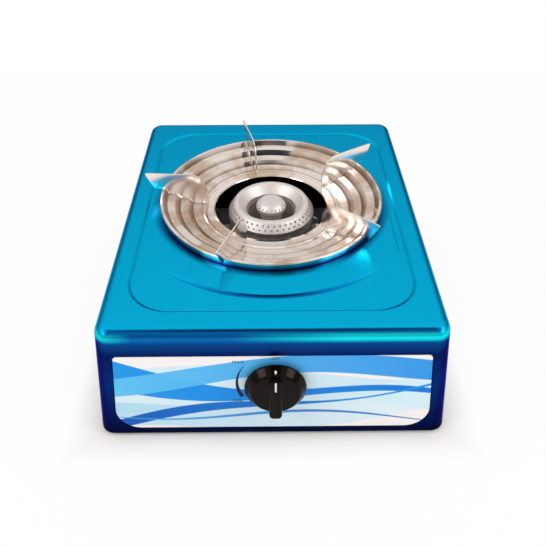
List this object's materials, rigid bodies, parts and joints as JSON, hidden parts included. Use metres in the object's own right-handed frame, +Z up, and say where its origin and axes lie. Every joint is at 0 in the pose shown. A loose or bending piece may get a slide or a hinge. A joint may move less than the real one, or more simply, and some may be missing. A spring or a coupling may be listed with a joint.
{
  "type": "single burner gas stove",
  "caption": "Countertop gas stove: leaning sheet housing, stepped drip pan with upright pot blades, ring burner with lift-off caps, push-and-turn knob and rear hose inlet.",
  "frame": {"origin": "on the surface the feet stand on, under the middle of the whole footprint, knob and hose nipple included", "axes": "+Z up, -Y towards the knob and the cook, +Y towards the hose inlet, +X to the cook's right"},
  "size_m": [0.29, 0.3834, 0.138],
  "materials": {
    "lacquered_sheet": "blue translucent lacquer over bright steel sheet",
    "printed_panel": "gloss print, white with blue waves",
    "rubber": "matte moulded",
    "zinc_sheet": "zinc plated",
    "cast_aluminium": "fine cast, satin",
    "brass": "machined",
    "spring_steel": "drawn wire",
    "knob_plastic": "gloss black moulding",
    "burner_iron": "sand cast, heat blackened",
    "ceramic": "glazed white ceramic",
    "black_plastic": "matte moulded",
    "silicone": "red-brown silicone sleeve",
    "pipe_steel": "plated drawn tube",
    "polished_steel": "mirror polished stainless"
  },
  "bodies": {
    "housing": {"body_shell": "lacquered_sheet", "control_panel": "printed_panel", "foot_front_left": "rubber", "foot_front_right": "rubber", "foot_back_left": "rubber", "foot_back_right": "rubber", "burner_rail": "zinc_sheet", "rail_screw_left": "zinc_sheet", "rail_screw_right": "zinc_sheet", "valve_bonnet": "zinc_sheet", "valve_body": "cast_aluminium", "valve_screw_left": "zinc_sheet", "valve_screw_right": "zinc_sheet", "injector": "brass", "burner_body": "burner_iron", "burner_screw_left": "zinc_sheet", "burner_screw_right": "zinc_sheet", "electrode_bracket": "zinc_sheet", "electrode_ceramic": "ceramic", "electrode_pin": "spring_steel", "piezo_igniter": "black_plastic", "ignition_lead": "silicone", "inlet_fitting": "brass", "inlet_lock_nut": "brass", "gas_pipe": "pipe_steel", "pipe_nut": "brass"},
    "valve_plug": {"valve_plug": "brass", "stem_spring": "spring_steel"},
    "knob": {"knob": "knob_plastic", "valve_stem": "zinc_sheet"},
    "air_shutter": {"air_shutter": "zinc_sheet"},
    "drip_pan": {"drip_pan": "polished_steel", "pot_blade_1": "polished_steel", "pot_blade_2": "polished_steel", "pot_blade_3": "polished_steel", "pot_blade_4": "polished_steel", "pot_blade_5": "polished_steel"},
    "outer_cap": {"burner_outer_cap": "cast_aluminium"},
    "inner_cap": {"burner_inner_cap": "cast_aluminium"}
  },
  "joints": [
    {"name": "knob_turn", "type": "hinge", "parent": "housing", "child": "valve_plug", "pos_m": [0.002, -0.17249, 0.06], "axis": [0, -0.9959, 0.0905], "range_deg": [0, 125]},
    {"name": "knob_press", "type": "slide", "parent": "valve_plug", "child": "knob", "axis": [0, 0.9959, -0.0905], "range_m": [0, 0.003], "stiffness_N_per_m": 800, "deforming": ["stem_spring"]},
    {"name": "air_shutter_turn", "type": "hinge", "parent": "housing", "child": "air_shutter", "pos_m": [0.002, -0.11425, 0.05417], "axis": [0, -1, 0], "range_deg": [0, 60]},
    {"name": "pan_lift", "type": "slide", "parent": "housing", "child": "drip_pan", "axis": [0, 0, 1], "range_m": [0, 0.06]},
    {"name": "outer_cap_lift", "type": "slide", "parent": "housing", "child": "outer_cap", "axis": [0, 0, 1], "range_m": [0, 0.04]},
    {"name": "inner_cap_lift", "type": "slide", "parent": "housing", "child": "inner_cap", "axis": [0, 0, 1], "range_m": [0, 0.04]}
  ]
}
